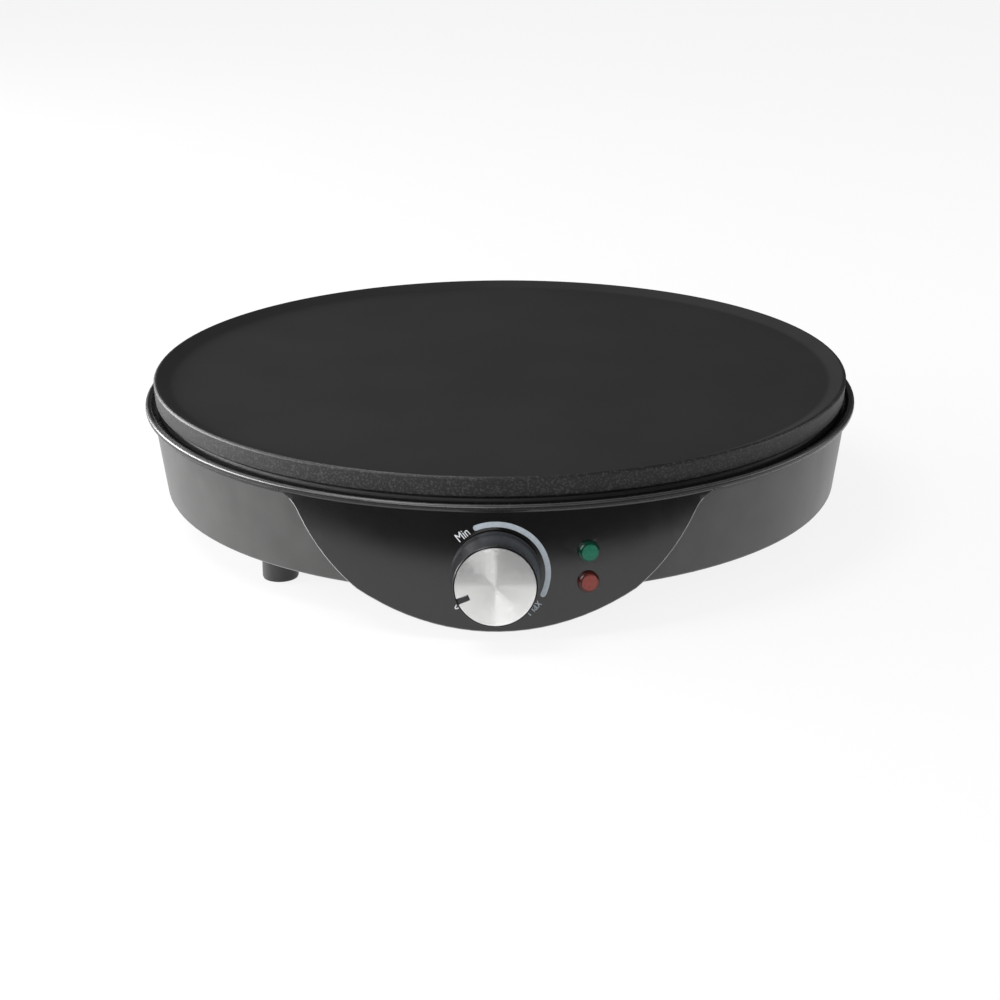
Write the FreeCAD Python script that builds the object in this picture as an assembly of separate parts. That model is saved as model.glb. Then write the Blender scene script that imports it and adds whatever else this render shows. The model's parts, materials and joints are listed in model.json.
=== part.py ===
"""Electric crepe maker: a round griddle on a tapered housing, with a dial on a hanging front panel.

Millimetres, +Z up, the dial facing -Y. The origin is on the table, at the centre of the footprint.
Each function makes one piece about the griddle's upright axis. At the end the pieces all move back
by the same step, so that the footprint, which the dial makes longer in front, is centred.
"""
import FreeCAD, Part
import math
import os

from FreeCAD import Placement, Rotation, Vector

# Griddle: a 12 inch cast plate
GRIDDLE_R = 150.0
CREST_Z = 64.0
LIP_HEIGHT = 2.6
LIP_WIDTH = 5.5
LIP_SWEEP_R = 5.0
PLATE_THICKNESS = 5.0
SKIRT_THICKNESS = 4.0
SKIRT_DRAFT = 0.6
SKIRT_Z = 55.4
FLAT_Z = CREST_Z - LIP_HEIGHT
UNDERSIDE_Z = FLAT_Z - PLATE_THICKNESS

# Collar round the griddle
COLLAR_R = 153.9
COLLAR_TOP = 54.15
COLLAR_LIP = 2.75
COLLAR_STEP_R = 152.3
COLLAR_SEAT = 49.9
GUTTER_Z = 52.5
SHELF_TOP = 48.0
SHELF_THICKNESS = 2.0
SHELF_R = 131.0

# Front panel hanging from the collar, as (x, z) points on its outline
PANEL_BOTTOM = 3.8
PANEL_CORNER = (53.6, 17.5)
PANEL_SIDE = (67.3, 30.3)
PANEL_SHOULDER = (76.2, 44.0)
PANEL_SHOULDER_MIDDLE = (78.9, 48.2)
PANEL_TOP = (84.0, 51.4)
PANEL_SKIN = 2.5
PANEL_WALL = 2.0
PANEL_LEAN = 0.054
PANEL_BACK_GAP = 0.2

# Side wall and floor
WALL_TOP_R = 150.5
WALL_BOTTOM_R = 145.9
WALL_THICKNESS = 2.0
WALL_BOTTOM = 14.8
WALL_EDGE_R = 2.0
LEDGE_R = 133.0
LEDGE_Z = 16.8
LEDGE_THICKNESS = 2.0
COVER_R = 141.7
COVER_THICKNESS = 2.0
VENT_RADII = (66.0, 78.0, 90.0, 102.0)
VENT_ANGLES = (-75.0, -15.0, 45.0, 105.0, 225.0)
VENT_HALF_LENGTH = 11.0
VENT_STEP = 1.6
VENT_HALF_WIDTH = 2.2

# Feet, three of them a third of a turn apart
FOOT_R = 7.35
FOOT_RING_R = 126.0
FOOT_ANGLES = {"foot_front_left": -45.0, "foot_right": 75.0, "foot_rear": 195.0}
FOOT_RECESS_R = 4.0
FOOT_RECESS_DEPTH = 8.0

# Posts that join collar, wall and floor
POST_RING_R = 137.0
POST_ANGLES = (-145.0, -90.0, -35.0, 35.0, 90.0, 145.0)
POST_R = 4.5
POST_SPLIT_Z = 26.0

# Heating element, its clamps and the heat shield
ELEMENT_RING_R = 92.0
ELEMENT_R = 4.0
ELEMENT_Z = UNDERSIDE_Z - 3.6
ELEMENT_END_ANGLE = 166.0
ELEMENT_BEND_R = 11.0
ELEMENT_LEG_Z = 33.0
CLAMP_ANGLES = (0.0, 120.0, 240.0)
CLAMP_HOLE_STEP = 11.5
CLAMP_THICKNESS = 1.2
SHIELD_RIM_R = 143.2
SHIELD_FLOOR_R = 119.0
SHIELD_FLOOR_Z = 36.0
SHIELD_THICKNESS = 0.8
SHIELD_SCREW_ANGLES = (0.0, 120.0, 240.0)
SPACER_RING_R = 111.0
SPACER_ANGLES = (60.0, 180.0, 300.0)
SPACER_TOP = 53.0
RIB_DEPTH = 3.0

# Dial, in a frame on the panel's face: +Z out of the panel, +X right, +Y up
DIAL_Z = 27.0
KNOB_BASE_R = 17.35
KNOB_TOP_R = 15.9
KNOB_FRONT = 15.0
KNOB_GAP = 0.6
DISC_R = 15.3
DISC_THICKNESS = 0.8
POINTER_CLOCK_ANGLE = -112.0
POINTER_LENGTH = 5.0
POINTER_WIDTH = 2.2
SPINDLE_R = 3.0
SPINDLE_RUNNING_GAP = 0.06
SPINDLE_FLAT = 2.1
BRACKET_FRONT = -8.0
BRACKET_THICKNESS = 1.2
BRACKET_SCREW_X = 22.0
THERMOSTAT_SIZE = (38.0, 19.0, 18.0)
THERMOSTAT_DROP = 7.0
NECK_R = 4.5
NECK_FRONT = -3.5

# Indicator lamps
LAMP_X = 35.0
GREEN_LAMP_Z = 34.6
RED_LAMP_Z = 22.6
LENS_R = 4.25
LENS_HEIGHT = 1.9
LAMP_STEM_R = 3.4

# Sensor of the thermostat, and the fuse
BULB_Y = -62.0
BULB_R = 3.0
BULB_HALF = 23.0
BULB_CLIP_X = 12.0
CAPILLARY_R = 0.8
CAPILLARY_X = 12.0
CAPILLARY_Y = -104.0
FUSE_X = -60.0
FUSE_Y = 30.0
FUSE_R = 2.8
STRAP_THICKNESS = 0.8
STRAP_SCREW_STEP = 4.0
STRAP_SCREW_R = 1.25

# Cord inlet at the rear
CORD_BORE_R = 3.6
CORD_Z = 30.0
GLAND_R = 8.0
GLAND_BARREL_R = 5.9
GLAND_PAD_R = 10.5
GLAND_SEAT_Y = 149.6
GLAND_FLANGE = 3.0
GLAND_LENGTH = 16.0
PAD_INNER_Y = 143.0

# Terminal block for the cord's cores, on the floor
TERMINAL_BLOCK_X = 38.0
TERMINAL_BLOCK_Y = 90.0
TERMINAL_BLOCK_SIZE = (32.0, 16.0, 12.0)
TERMINAL_WAYS = (-10.0, 0.0, 10.0)

# Roundings from this radius up are cut as two flats, and smaller ones as one
TWO_FLATS_FROM = 0.8

UP = Vector(0, 0, 1)
BACK = Vector(0, 1, 0)
RIGHT = Vector(1, 0, 0)
ORIGIN = Vector(0, 0, 0)


def polar(radius, angle, z=0.0):
    """Point at a radius from the griddle's axis; angle 0 is the front, +90 the right-hand side."""
    a = math.radians(angle)
    return Vector(radius * math.sin(a), -radius * math.cos(a), z)


def turned(shape, angle):
    """Copy turned about the griddle's axis, from the front towards the right-hand side."""
    copy = shape.copy()
    copy.rotate(ORIGIN, UP, angle)
    return copy


def placed(shape, placement):
    """Copy carried from its own frame into the griddle's."""
    copy = shape.copy()
    copy.Placement = placement.multiply(copy.Placement)
    return copy


def outline(corners):
    """Closed wire in the XZ plane through (x, z, rounding) corners, rounded by one or two flats."""
    points = [Vector(x, 0, z) for x, z, _ in corners]
    trimmed = []
    for i, here in enumerate(points):
        radius = corners[i][2]
        if radius == 0:
            trimmed.append(here)
            continue
        back = (points[i - 1] - here).normalize()
        ahead = (points[(i + 1) % len(points)] - here).normalize()
        half = back.getAngle(ahead) / 2
        centre = here + (back + ahead).normalize() * (radius / math.sin(half))
        cut = radius / math.tan(half)
        trimmed.append(here + back * cut)
        if radius >= TWO_FLATS_FROM:
            trimmed.append(centre + (here - centre).normalize() * radius)
        trimmed.append(here + ahead * cut)
    apart = [p for i, p in enumerate(trimmed) if p.distanceToPoint(trimmed[i - 1]) > 1e-6]
    return Part.makePolygon(apart + apart[:1])


def lathe(corners):
    """Solid turned about the upright axis from (radius, z, corner radius) corners."""
    return Part.Face(outline(corners)).revolve(ORIGIN, UP, 360)


def rod(radius, length, base, direction=UP):
    return Part.makeCylinder(radius, length, base, direction)


def sleeve(outer, inner, length, base, direction=UP):
    return rod(outer, length, base, direction).cut(rod(inner, length, base, direction))


def block(low, high):
    """Box between two opposite corners."""
    size = high - low
    return Part.makeBox(size.x, size.y, size.z, low)


def slot(half_length, half_width, height, base):
    """Upright block along X with round ends, centred on its base point."""
    bar = block(base - Vector(half_length, half_width, 0), base + Vector(half_length, half_width, height))
    ends = [rod(half_width, height, base + RIGHT * (side * half_length)) for side in (-1, 1)]
    return bar.fuse(ends).removeSplitter()


def prism(sides, radius, length, base, direction=UP):
    """Bar with a regular section whose corners lie on the radius."""
    turns = [2 * math.pi * i / sides for i in range(sides + 1)]
    section = Part.Face(Part.makePolygon([Vector(radius * math.cos(t), radius * math.sin(t), 0) for t in turns]))
    return placed(section.extrude(UP * length), Placement(base, Rotation(UP, direction)))


def screw(radius, length, head_r, head_height, seat, direction=UP):
    """Screw with few faces: the head's underside is at the seat and the shank runs along the direction."""
    head = prism(12, head_r, head_height, seat - direction * head_height, direction)
    return head.fuse(prism(8, radius, length, seat, direction)).removeSplitter()


def bent_tube(radius, bend, points):
    """Round bar along straight runs joined by arcs that are tangent to them."""
    edges = []
    start = points[0]
    for i in range(1, len(points) - 1):
        here = points[i]
        back = (points[i - 1] - here).normalize()
        ahead = (points[i + 1] - here).normalize()
        half = back.getAngle(ahead) / 2
        cut = bend / math.tan(half)
        centre = here + (back + ahead).normalize() * (bend / math.sin(half))
        middle = centre + (here - centre).normalize() * bend
        edges.append(Part.LineSegment(start, here + back * cut).toShape())
        edges.append(Part.Arc(here + back * cut, middle, here + ahead * cut).toShape())
        start = here + ahead * cut
    edges.append(Part.LineSegment(start, points[-1]).toShape())
    section = Part.Wire([Part.Circle(points[0], points[1] - points[0], radius).toShape()])
    return Part.Wire(edges).makePipeShell([section], True, False)


def group(shapes):
    return Part.makeCompound(shapes)


def panel_r(z):
    """Outer radius of the front panel, which leans out below the collar."""
    return COLLAR_R + PANEL_LEAN * (COLLAR_SEAT - z)


def wall_r(z):
    """Outer radius of the tapered side wall."""
    share = (z - WALL_BOTTOM) / (COLLAR_SEAT - WALL_BOTTOM)
    return WALL_BOTTOM_R + (WALL_TOP_R - WALL_BOTTOM_R) * share


def on_panel(x, z):
    """Frame on the panel's outer face: +Z out of it, +X to the right, +Y up."""
    radius = panel_r(z)
    angle = math.degrees(math.asin(x / radius))
    lean = math.degrees(math.atan(PANEL_LEAN))
    return Placement(polar(radius, angle, z), Rotation(UP, angle).multiply(Rotation(RIGHT, 90 - lean)))


DIAL = on_panel(0.0, DIAL_Z)
LAMPS = {"green": on_panel(LAMP_X, GREEN_LAMP_Z), "red": on_panel(LAMP_X, RED_LAMP_Z)}


def element_bar():
    """Eight-sided bar in a ring, open at the rear, where both ends turn down side by side."""
    reach = ELEMENT_R / math.cos(math.pi / 8)
    turns = [math.pi * (i + 0.5) / 4 for i in range(9)]
    section = Part.Face(Part.makePolygon([
        Vector(0, -ELEMENT_RING_R + reach * math.cos(t), ELEMENT_Z + reach * math.sin(t)) for t in turns]))
    ring = turned(section, -ELEMENT_END_ANGLE).revolve(ORIGIN, UP, 2 * ELEMENT_END_ANGLE)
    ends = []
    for side in (-1, 1):
        a = math.radians(ELEMENT_END_ANGLE) * side
        hinge = UP.cross(Vector(math.cos(a), math.sin(a), 0) * side)
        pivot = polar(ELEMENT_RING_R, ELEMENT_END_ANGLE * side, ELEMENT_Z - ELEMENT_BEND_R)
        end = turned(section, ELEMENT_END_ANGLE * side)
        ends.append(end.revolve(pivot, hinge, 90))
        end.rotate(pivot, hinge, 90)
        ends.append(end.extrude(UP * (ELEMENT_LEG_Z - pivot.z)))
    return ring.fuse(ends).removeSplitter()


def leg_points(z):
    """Centres of the element's two legs at a height."""
    a = math.radians(ELEMENT_END_ANGLE)
    top = polar(ELEMENT_RING_R, ELEMENT_END_ANGLE)
    x = top.x + math.cos(a) * ELEMENT_BEND_R
    y = top.y + math.sin(a) * ELEMENT_BEND_R
    return [Vector(side * x, y, z) for side in (-1, 1)]


def clamp_points(z):
    """Centres of the clamps' screws, one on each side of the element at each clamp."""
    radii = (ELEMENT_RING_R - CLAMP_HOLE_STEP, ELEMENT_RING_R + CLAMP_HOLE_STEP)
    return [polar(radius, angle, z) for angle in CLAMP_ANGLES for radius in radii]


def griddle_plate():
    """Cast plate: raised lip, skirt, groove ring for the element, ribs and bosses."""
    lip_r = GRIDDLE_R - 1.6
    skirt_r = GRIDDLE_R - SKIRT_DRAFT
    inner_r = skirt_r - SKIRT_THICKNESS
    plate = lathe([
        (0, FLAT_Z, 0), (lip_r - LIP_WIDTH, FLAT_Z, LIP_SWEEP_R), (lip_r, CREST_Z, 0.5),
        (GRIDDLE_R, CREST_Z, 0.8), (skirt_r, SKIRT_Z, 0.8), (inner_r, SKIRT_Z, 0.6),
        (inner_r, UNDERSIDE_Z, 0), (0, UNDERSIDE_Z, 0)])
    root = UNDERSIDE_Z + 1
    groove_ring = lathe([
        (ELEMENT_RING_R - 8, root, 0), (ELEMENT_RING_R + 8, root, 0),
        (ELEMENT_RING_R + 6.5, ELEMENT_Z, 0), (ELEMENT_RING_R - 6.5, ELEMENT_Z, 0)])
    hub_rib = lathe([(42, root, 0), (45, root, 0), (44.5, UNDERSIDE_Z - RIB_DEPTH, 0),
                     (42.5, UNDERSIDE_Z - RIB_DEPTH, 0)])
    rib = block(Vector(-1.2, 8 - ELEMENT_RING_R, UNDERSIDE_Z - RIB_DEPTH), Vector(1.2, -43.5, root))
    clamp_z = ELEMENT_Z - ELEMENT_R
    added = [groove_ring, hub_rib] + [turned(rib, 30 + 60 * i) for i in range(6)]
    added += [prism(12, 7, root - SPACER_TOP, polar(SPACER_RING_R, a, SPACER_TOP)) for a in SPACER_ANGLES]
    added += [prism(12, 4, root - clamp_z, point) for point in clamp_points(clamp_z)]
    holes = [rod(2.55, 6.5, polar(SPACER_RING_R, a, SPACER_TOP)) for a in SPACER_ANGLES]
    holes += [rod(1.55, 7.5, point) for point in clamp_points(clamp_z)]
    holes += [rod(STRAP_SCREW_R, 3.5, strap_hole(BULB_R, centre)) for centre in bulb_centres()]
    return plate.fuse(added).cut(holes + [element_bar()]).removeSplitter()


def element_clamps():
    clamps = []
    for angle in CLAMP_ANGLES:
        base = Vector(0, 0, ELEMENT_Z - ELEMENT_R - CLAMP_THICKNESS)
        strap = slot(CLAMP_HOLE_STEP, 4.5, CLAMP_THICKNESS, base)
        for side in (-1, 1):
            strap = strap.cut(rod(1.6, CLAMP_THICKNESS, base + RIGHT * (side * CLAMP_HOLE_STEP)))
        strap.rotate(ORIGIN, UP, 90)
        strap.translate(Vector(0, -ELEMENT_RING_R, 0))
        clamps.append(turned(strap, angle))
    return group(clamps)


def clamp_screws():
    seat_z = ELEMENT_Z - ELEMENT_R - CLAMP_THICKNESS
    return group([screw(1.5, 8.0, 2.8, 1.8, point) for point in clamp_points(seat_z)])


def element_end_seals():
    return group([sleeve(ELEMENT_R - 0.4, 1.3, 3.0, point) for point in leg_points(ELEMENT_LEG_Z - 3)])


def element_terminals():
    """Pin through each end seal, with a flat push-on tab below it."""
    terminals = []
    for point in leg_points(ELEMENT_LEG_Z - 6):
        tab = block(point - Vector(3.15, 0.4, 7), point + Vector(3.15, 0.4, 1))
        terminals.append(rod(1.25, 6.0, point).fuse(tab).removeSplitter())
    return group(terminals)


def heat_shield():
    """Pressed dish between the plate and the housing, resting on the collar's shelf."""
    under = SHELF_TOP
    over = under + SHIELD_THICKNESS
    floor_top = SHIELD_FLOOR_Z + SHIELD_THICKNESS
    rim_start = SHELF_R - 2.0
    dish = lathe([
        (0, floor_top, 0), (SHIELD_FLOOR_R, floor_top, 0), (rim_start, over, 0),
        (SHIELD_RIM_R, over, 0), (SHIELD_RIM_R, under, 0), (rim_start + 0.5, under, 0),
        (SHIELD_FLOOR_R + 0.5, SHIELD_FLOOR_Z, 0), (0, SHIELD_FLOOR_Z, 0)])
    depth = 3 * SHIELD_THICKNESS
    low = SHIELD_FLOOR_Z - SHIELD_THICKNESS
    holes = [rod(2.7, depth, polar(SPACER_RING_R, a, low)) for a in SPACER_ANGLES]
    holes += [rod(ELEMENT_R + 1.5, depth, point) for point in leg_points(low)]
    holes += [rod(1.7, depth, polar(POST_RING_R, a, under - SHIELD_THICKNESS)) for a in SHIELD_SCREW_ANGLES]
    holes.append(rod(2.5, depth, Vector(CAPILLARY_X, CAPILLARY_Y, low)))
    holes.append(rod(STRAP_SCREW_R, depth, strap_hole(FUSE_R, fuse_centre()) - UP * SHIELD_THICKNESS))
    return dish.cut(holes)


def plate_spacers():
    base_z = SHIELD_FLOOR_Z + SHIELD_THICKNESS
    return group([sleeve(5.0, 2.6, SPACER_TOP - base_z, polar(SPACER_RING_R, a, base_z))
                  for a in SPACER_ANGLES])


def plate_screws():
    return group([screw(2.5, 22.5, 4.5, 2.8, polar(SPACER_RING_R, a, SHIELD_FLOOR_Z)) for a in SPACER_ANGLES])


def shield_screws():
    seat_z = SHELF_TOP + SHIELD_THICKNESS
    return group([screw(1.5, 7.5, 3.0, 2.0, polar(POST_RING_R, a, seat_z), UP * -1)
                  for a in SHIELD_SCREW_ANGLES])


def panel_outline():
    """Front view of the panel: a round bottom, swept sides and shoulders that meet the collar."""
    def point(pair, side=1):
        return Vector(side * pair[0], 0, pair[1])
    top_z = COLLAR_TOP - 1.5
    edges = [Part.Arc(point(PANEL_CORNER, -1), Vector(0, 0, PANEL_BOTTOM), point(PANEL_CORNER)).toShape()]
    for side in (1, -1):
        corner = Vector(side * PANEL_TOP[0], 0, top_z)
        edges.append(Part.Arc(point(PANEL_CORNER, side), point(PANEL_SIDE, side),
                              point(PANEL_SHOULDER, side)).toShape())
        edges.append(Part.Arc(point(PANEL_SHOULDER, side), point(PANEL_SHOULDER_MIDDLE, side),
                              point(PANEL_TOP, side)).toShape())
        edges.append(Part.LineSegment(point(PANEL_TOP, side), corner).toShape())
    edges.append(Part.LineSegment(Vector(-PANEL_TOP[0], 0, top_z), Vector(PANEL_TOP[0], 0, top_z)).toShape())
    return Part.Wire(Part.__sortEdges__(edges))


def front_panel():
    """Hollow panel: a leaning skin with walls that run back to the side wall along its outline."""
    face = Part.Face(panel_outline())
    low = PANEL_BOTTOM - 1
    outer_ring = lathe([
        (panel_r(COLLAR_TOP), COLLAR_TOP, 0), (panel_r(low), low, 0),
        (WALL_BOTTOM_R + PANEL_BACK_GAP, low, 0), (WALL_BOTTOM_R + PANEL_BACK_GAP, WALL_BOTTOM, 0),
        (WALL_TOP_R + PANEL_BACK_GAP, COLLAR_SEAT, 0), (WALL_TOP_R + PANEL_BACK_GAP, COLLAR_TOP, 0)])
    inner_ring = lathe([
        (panel_r(COLLAR_SEAT) - PANEL_SKIN, COLLAR_SEAT, 0), (panel_r(low) - PANEL_SKIN, low, 0),
        (WALL_BOTTOM_R - 5, low, 0), (WALL_BOTTOM_R - 5, COLLAR_SEAT, 0)])
    hollow = face.makeOffset2D(-PANEL_WALL).extrude(BACK * -200).common(inner_ring)
    return face.extrude(BACK * -200).common(outer_ring).cut(hollow)


def rim_and_fascia():
    """Gloss moulding: the collar round the griddle and the panel that hangs from it in one piece."""
    lip_z = COLLAR_TOP - COLLAR_LIP
    collar = lathe([
        (COLLAR_R, COLLAR_TOP, 0.7), (COLLAR_R, lip_z, 0.5), (COLLAR_STEP_R, lip_z, 0),
        (COLLAR_STEP_R, COLLAR_SEAT, 0), (148.2, COLLAR_SEAT, 0), (147.2, 43.0, 0), (145.0, 43.0, 0),
        (145.2, SHELF_TOP - SHELF_THICKNESS, 0), (SHELF_R, SHELF_TOP - SHELF_THICKNESS, 0),
        (SHELF_R, SHELF_TOP, 0), (143.8, SHELF_TOP, 0), (143.8, COLLAR_TOP, 0.4),
        (145.4, COLLAR_TOP, 0.4), (146.0, GUTTER_Z, 0.6), (150.4, GUTTER_Z, 0.6), (151.2, COLLAR_TOP, 0.4)])
    added = [front_panel()]
    shelf_under = SHELF_TOP - SHELF_THICKNESS
    added += [prism(12, POST_R, shelf_under + 1 - POST_SPLIT_Z, polar(POST_RING_R, a, POST_SPLIT_Z))
              for a in POST_ANGLES]
    added += [prism(12, 3.5, 6.5, polar(POST_RING_R, a, shelf_under - 5.5)) for a in SHIELD_SCREW_ANGLES]
    boss = prism(12, 3.2, -BRACKET_FRONT - 3, UP * BRACKET_FRONT)
    for side in (-1, 1):
        added.append(placed(boss, DIAL.multiply(Placement(RIGHT * (side * BRACKET_SCREW_X), Rotation()))))
    holes = [rod(1.75, 14, polar(POST_RING_R, a, POST_SPLIT_Z)) for a in POST_ANGLES]
    holes += [rod(1.55, 8.5, polar(POST_RING_R, a, shelf_under - 5)) for a in SHIELD_SCREW_ANGLES]
    holes.append(placed(rod(SPINDLE_R + 0.6, 10, UP * -6), DIAL))
    for side in (-1, 1):
        hole = rod(1.3, 3.2, UP * BRACKET_FRONT)
        holes.append(placed(hole, DIAL.multiply(Placement(RIGHT * (side * BRACKET_SCREW_X), Rotation()))))
    holes += [placed(rod(LAMP_STEM_R + 0.05, 10, UP * -6), lamp) for lamp in LAMPS.values()]
    return collar.fuse(added).cut(holes).removeSplitter()


def side_housing():
    """Tapered side wall with an inner ledge for the floor, posts, and a window behind the dial."""
    inner_bottom = LEDGE_Z + LEDGE_THICKNESS
    wall = lathe([
        (WALL_TOP_R, COLLAR_SEAT, 0), (WALL_BOTTOM_R, WALL_BOTTOM, WALL_EDGE_R),
        (COVER_R + 0.3, WALL_BOTTOM, 0), (COVER_R + 0.3, LEDGE_Z, 0), (LEDGE_R, LEDGE_Z, 0),
        (LEDGE_R, inner_bottom, 0), (wall_r(inner_bottom) - WALL_THICKNESS, inner_bottom, 0.8),
        (WALL_TOP_R - WALL_THICKNESS, COLLAR_SEAT, 0)])
    posts = [prism(12, POST_R, POST_SPLIT_Z - LEDGE_Z, polar(POST_RING_R, a, LEDGE_Z)) for a in POST_ANGLES]
    pad = rod(GLAND_PAD_R, GLAND_SEAT_Y - PAD_INNER_Y, Vector(0, PAD_INNER_Y, CORD_Z), BACK)
    holes = [rod(2.2, 12, polar(POST_RING_R, a, LEDGE_Z - 1)) for a in POST_ANGLES]
    holes.append(rod(GLAND_BARREL_R + 0.1, 12, Vector(0, PAD_INNER_Y - 2, CORD_Z), BACK))
    window = block(Vector(-34, -160, inner_bottom - 0.8), Vector(46, -139, 42))
    notch = block(Vector(-27, -160, LEDGE_Z), Vector(44, -100, inner_bottom + 1)).common(
        rod(wall_r(LEDGE_Z) - WALL_THICKNESS - 0.8, 10, UP * LEDGE_Z))
    return wall.fuse(posts + [pad]).cut(holes + [window, notch]).removeSplitter()


def bottom_cover():
    """Vented floor with stiffening ribs and a boss over each foot."""
    bottom = LEDGE_Z - COVER_THICKNESS
    cover = lathe([
        (0, bottom, 0), (COVER_R, bottom, 0.5), (COVER_R, LEDGE_Z, 0), (0, LEDGE_Z, 0)])
    rings = [lathe([(r - 1, LEDGE_Z - 0.5, 0), (r + 1, LEDGE_Z - 0.5, 0), (r + 0.8, LEDGE_Z + 4, 0),
                    (r - 0.8, LEDGE_Z + 4, 0)]) for r in (52, 118)]
    rib = block(Vector(-0.9, -117.5, LEDGE_Z - 0.5), Vector(0.9, -52.5, LEDGE_Z + 4))
    ribs = [turned(rib, 60 * i + 15) for i in range(6)]
    bosses = [prism(12, 5.2, 7.5, polar(FOOT_RING_R, a, LEDGE_Z - 0.5)) for a in FOOT_ANGLES.values()]
    holes = [rod(1.65, 10, polar(FOOT_RING_R, a, bottom - 1)) for a in FOOT_ANGLES.values()]
    holes += [rod(2.2, 4, polar(POST_RING_R, a, bottom - 1)) for a in POST_ANGLES]
    for row, radius in enumerate(VENT_RADII):
        half = VENT_HALF_LENGTH + VENT_STEP * row
        vent = block(Vector(-half, -radius - VENT_HALF_WIDTH, bottom - 1),
                     Vector(half, -radius + VENT_HALF_WIDTH, LEDGE_Z + 1))
        holes += [turned(vent, angle) for angle in VENT_ANGLES]
    return cover.fuse(rings + ribs + bosses).cut(holes).removeSplitter()


def cover_screws():
    return group([screw(1.7, 23, 3.6, 2.2, polar(POST_RING_R, a, LEDGE_Z - COVER_THICKNESS))
                  for a in POST_ANGLES])


def foot(angle):
    """Round foot with a recess for its screw."""
    body = lathe([
        (FOOT_RECESS_R, 0, 0.4), (FOOT_R, 0, 1.0), (FOOT_R, WALL_BOTTOM, 0), (1.8, WALL_BOTTOM, 0),
        (1.8, FOOT_RECESS_DEPTH, 0), (FOOT_RECESS_R, FOOT_RECESS_DEPTH, 0)])
    body.translate(polar(FOOT_RING_R, angle))
    return body


def foot_screws():
    return group([screw(1.6, 14.5, 3.2, 2.2, polar(FOOT_RING_R, a, FOOT_RECESS_DEPTH))
                  for a in FOOT_ANGLES.values()])


def thermostat_bracket():
    """Steel plate on two bosses behind the panel, carrying the thermostat by its neck."""
    base = UP * (BRACKET_FRONT - BRACKET_THICKNESS)
    plate = slot(BRACKET_SCREW_X, 6.5, BRACKET_THICKNESS, base)
    holes = [rod(4.6, BRACKET_THICKNESS, base)]
    holes += [rod(1.6, BRACKET_THICKNESS, base + RIGHT * (side * BRACKET_SCREW_X)) for side in (-1, 1)]
    return placed(plate.cut(holes), DIAL)


def thermostat_body():
    """Capillary thermostat: a flat case with a threaded neck and a running bore for the spindle."""
    width, height, depth = THERMOSTAT_SIZE
    rear = BRACKET_FRONT - BRACKET_THICKNESS - depth
    low = -THERMOSTAT_DROP
    case = block(Vector(-width / 2, low, rear), Vector(width / 2, low + height, rear + depth))
    case = case.makeFillet(3.0, [e for e in case.Edges if abs(e.tangentAt(e.FirstParameter).z) > 0.9])
    neck = rod(NECK_R, NECK_FRONT - (rear + depth), UP * (rear + depth))
    tabs = [block(Vector(x - 3.15, -4, rear - 8), Vector(x + 3.15, -3.2, rear + 1)) for x in (-10, 10)]
    body = case.fuse([neck] + tabs)
    bore = rod(SPINDLE_R + SPINDLE_RUNNING_GAP, 20, UP * (BRACKET_FRONT - 8))
    return placed(body.cut(bore).removeSplitter(), DIAL)


def thermostat_nut():
    """Hexagon nut that holds the thermostat's neck to its bracket."""
    base = UP * BRACKET_FRONT
    return placed(prism(6, 6.4, 2.2, base).cut(rod(NECK_R + 0.02, 2.2, base)), DIAL)


def bracket_screws():
    seat = BRACKET_FRONT - BRACKET_THICKNESS
    screws = [screw(1.25, 4.2, 2.4, 1.6, Vector(side * BRACKET_SCREW_X, 0, seat)) for side in (-1, 1)]
    return group([placed(one, DIAL) for one in screws])


def thermostat_spindle():
    """Steel spindle with a flat on the end that drives the knob."""
    length = 23.0
    base = BRACKET_FRONT - 7.5
    spindle = rod(SPINDLE_R, length - 3.6, UP * base).fuse(rod(SPINDLE_R, 3.6, UP * (base + length - 3.6)))
    flat = block(Vector(-5, SPINDLE_FLAT, 1.5), Vector(5, 5, 20))
    return placed(spindle.removeSplitter().cut(flat), DIAL)


def pointer_block(gap):
    """Bar from the knob's rim towards its centre, at the angle where the dial rests."""
    outer = DISC_R + 0.3
    bar = block(Vector(-POINTER_WIDTH / 2 - gap, outer - POINTER_LENGTH - gap, KNOB_FRONT - 2),
                Vector(POINTER_WIDTH / 2 + gap, outer, KNOB_FRONT + 0.25))
    bar.rotate(ORIGIN, UP, -POINTER_CLOCK_ANGLE)
    return bar


def knob_shell():
    """Hollow knob with a flared foot, a hub on the spindle, ribs and a raised pointer."""
    seat = KNOB_FRONT - DISC_THICKNESS
    roof = seat - 1.8
    wall_foot = KNOB_BASE_R - 1.8
    wall_top = KNOB_TOP_R - 1.8
    shell = lathe([
        (0, seat, 0), (DISC_R + 0.05, seat, 0), (DISC_R + 0.05, KNOB_FRONT, 0),
        (KNOB_TOP_R, KNOB_FRONT, 0.25), (KNOB_TOP_R + 0.7, 3.6, 3.0), (KNOB_BASE_R, 1.6, 0.4),
        (KNOB_BASE_R, KNOB_GAP, 0), (wall_foot, KNOB_GAP, 0), (wall_top, roof, 0.8),
        (5.2, roof, 0.6), (5.0, 2.2, 0), (0, 2.2, 0)])
    rib = block(Vector(-0.6, 4.5, 6.0), Vector(0.6, wall_top + 0.4, roof + 0.5))
    ribs = []
    for i in range(4):
        copy = rib.copy()
        copy.rotate(ORIGIN, UP, 45 + 90 * i)
        ribs.append(copy)
    bore = rod(SPINDLE_R + 0.02, roof - 2.8, UP * 2.2)
    keep = block(Vector(-5, SPINDLE_FLAT + 0.35, 0), Vector(5, 6, 20))
    return placed(shell.fuse(ribs + [pointer_block(0)]).cut(bore.cut(keep)).removeSplitter(), DIAL)


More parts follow.
